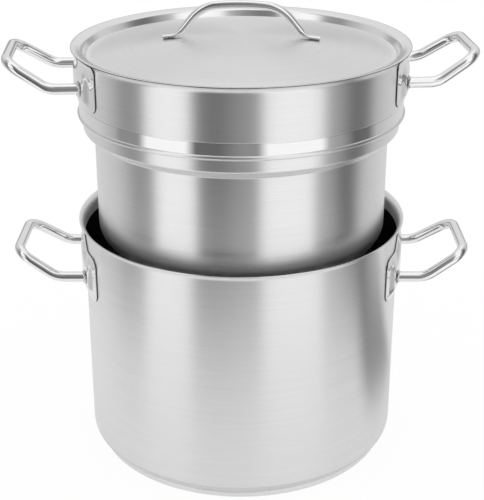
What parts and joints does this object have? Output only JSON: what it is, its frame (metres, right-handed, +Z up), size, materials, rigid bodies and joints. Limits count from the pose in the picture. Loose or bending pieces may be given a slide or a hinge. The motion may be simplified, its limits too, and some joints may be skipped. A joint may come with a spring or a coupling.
{
  "type": "double boiler",
  "caption": "Stovetop double boiler: a water pot with a flared rim, a stepped insert pot that hangs in it, a domed lid, and looped tube handles on stamped plates.",
  "frame": {"origin": "centre of the base, on the surface that the lower pot stands on", "axes": "+Z up, +X to the lower pot's right handle as the picture shows it, -Y towards the viewer"},
  "size_m": [0.4602, 0.3304, 0.4626],
  "materials": {
    "satin_steel": "satin, brushed round the pot",
    "polished_steel": "mirror polished",
    "weld_steel": "ground weld, semi-bright",
    "core_aluminium": "plain disc, hidden in the base"
  },
  "bodies": {
    "pot": {"pot_shell": "satin_steel", "pot_base_core": "core_aluminium", "pot_base_cap": "satin_steel", "pot_left_bracket": "polished_steel", "pot_left_handle": "polished_steel", "pot_left_front_weld": "weld_steel", "pot_left_rear_weld": "weld_steel", "pot_right_bracket": "polished_steel", "pot_right_handle": "polished_steel", "pot_right_front_weld": "weld_steel", "pot_right_rear_weld": "weld_steel"},
    "insert": {"insert_shell": "satin_steel", "insert_left_bracket": "polished_steel", "insert_left_handle": "polished_steel", "insert_left_front_weld": "weld_steel", "insert_left_rear_weld": "weld_steel", "insert_right_bracket": "polished_steel", "insert_right_handle": "polished_steel", "insert_right_front_weld": "weld_steel", "insert_right_rear_weld": "weld_steel"},
    "lid": {"lid_pan": "satin_steel", "lid_handle": "polished_steel"}
  },
  "joints": [
    {"name": "insert_lift", "type": "slide", "parent": "pot", "child": "insert", "axis": [0, 0, 1], "range_m": [-0.1125, 0.05]},
    {"name": "lid_lift", "type": "slide", "parent": "insert", "child": "lid", "axis": [0, 0, 1], "range_m": [0, 0.1]}
  ]
}
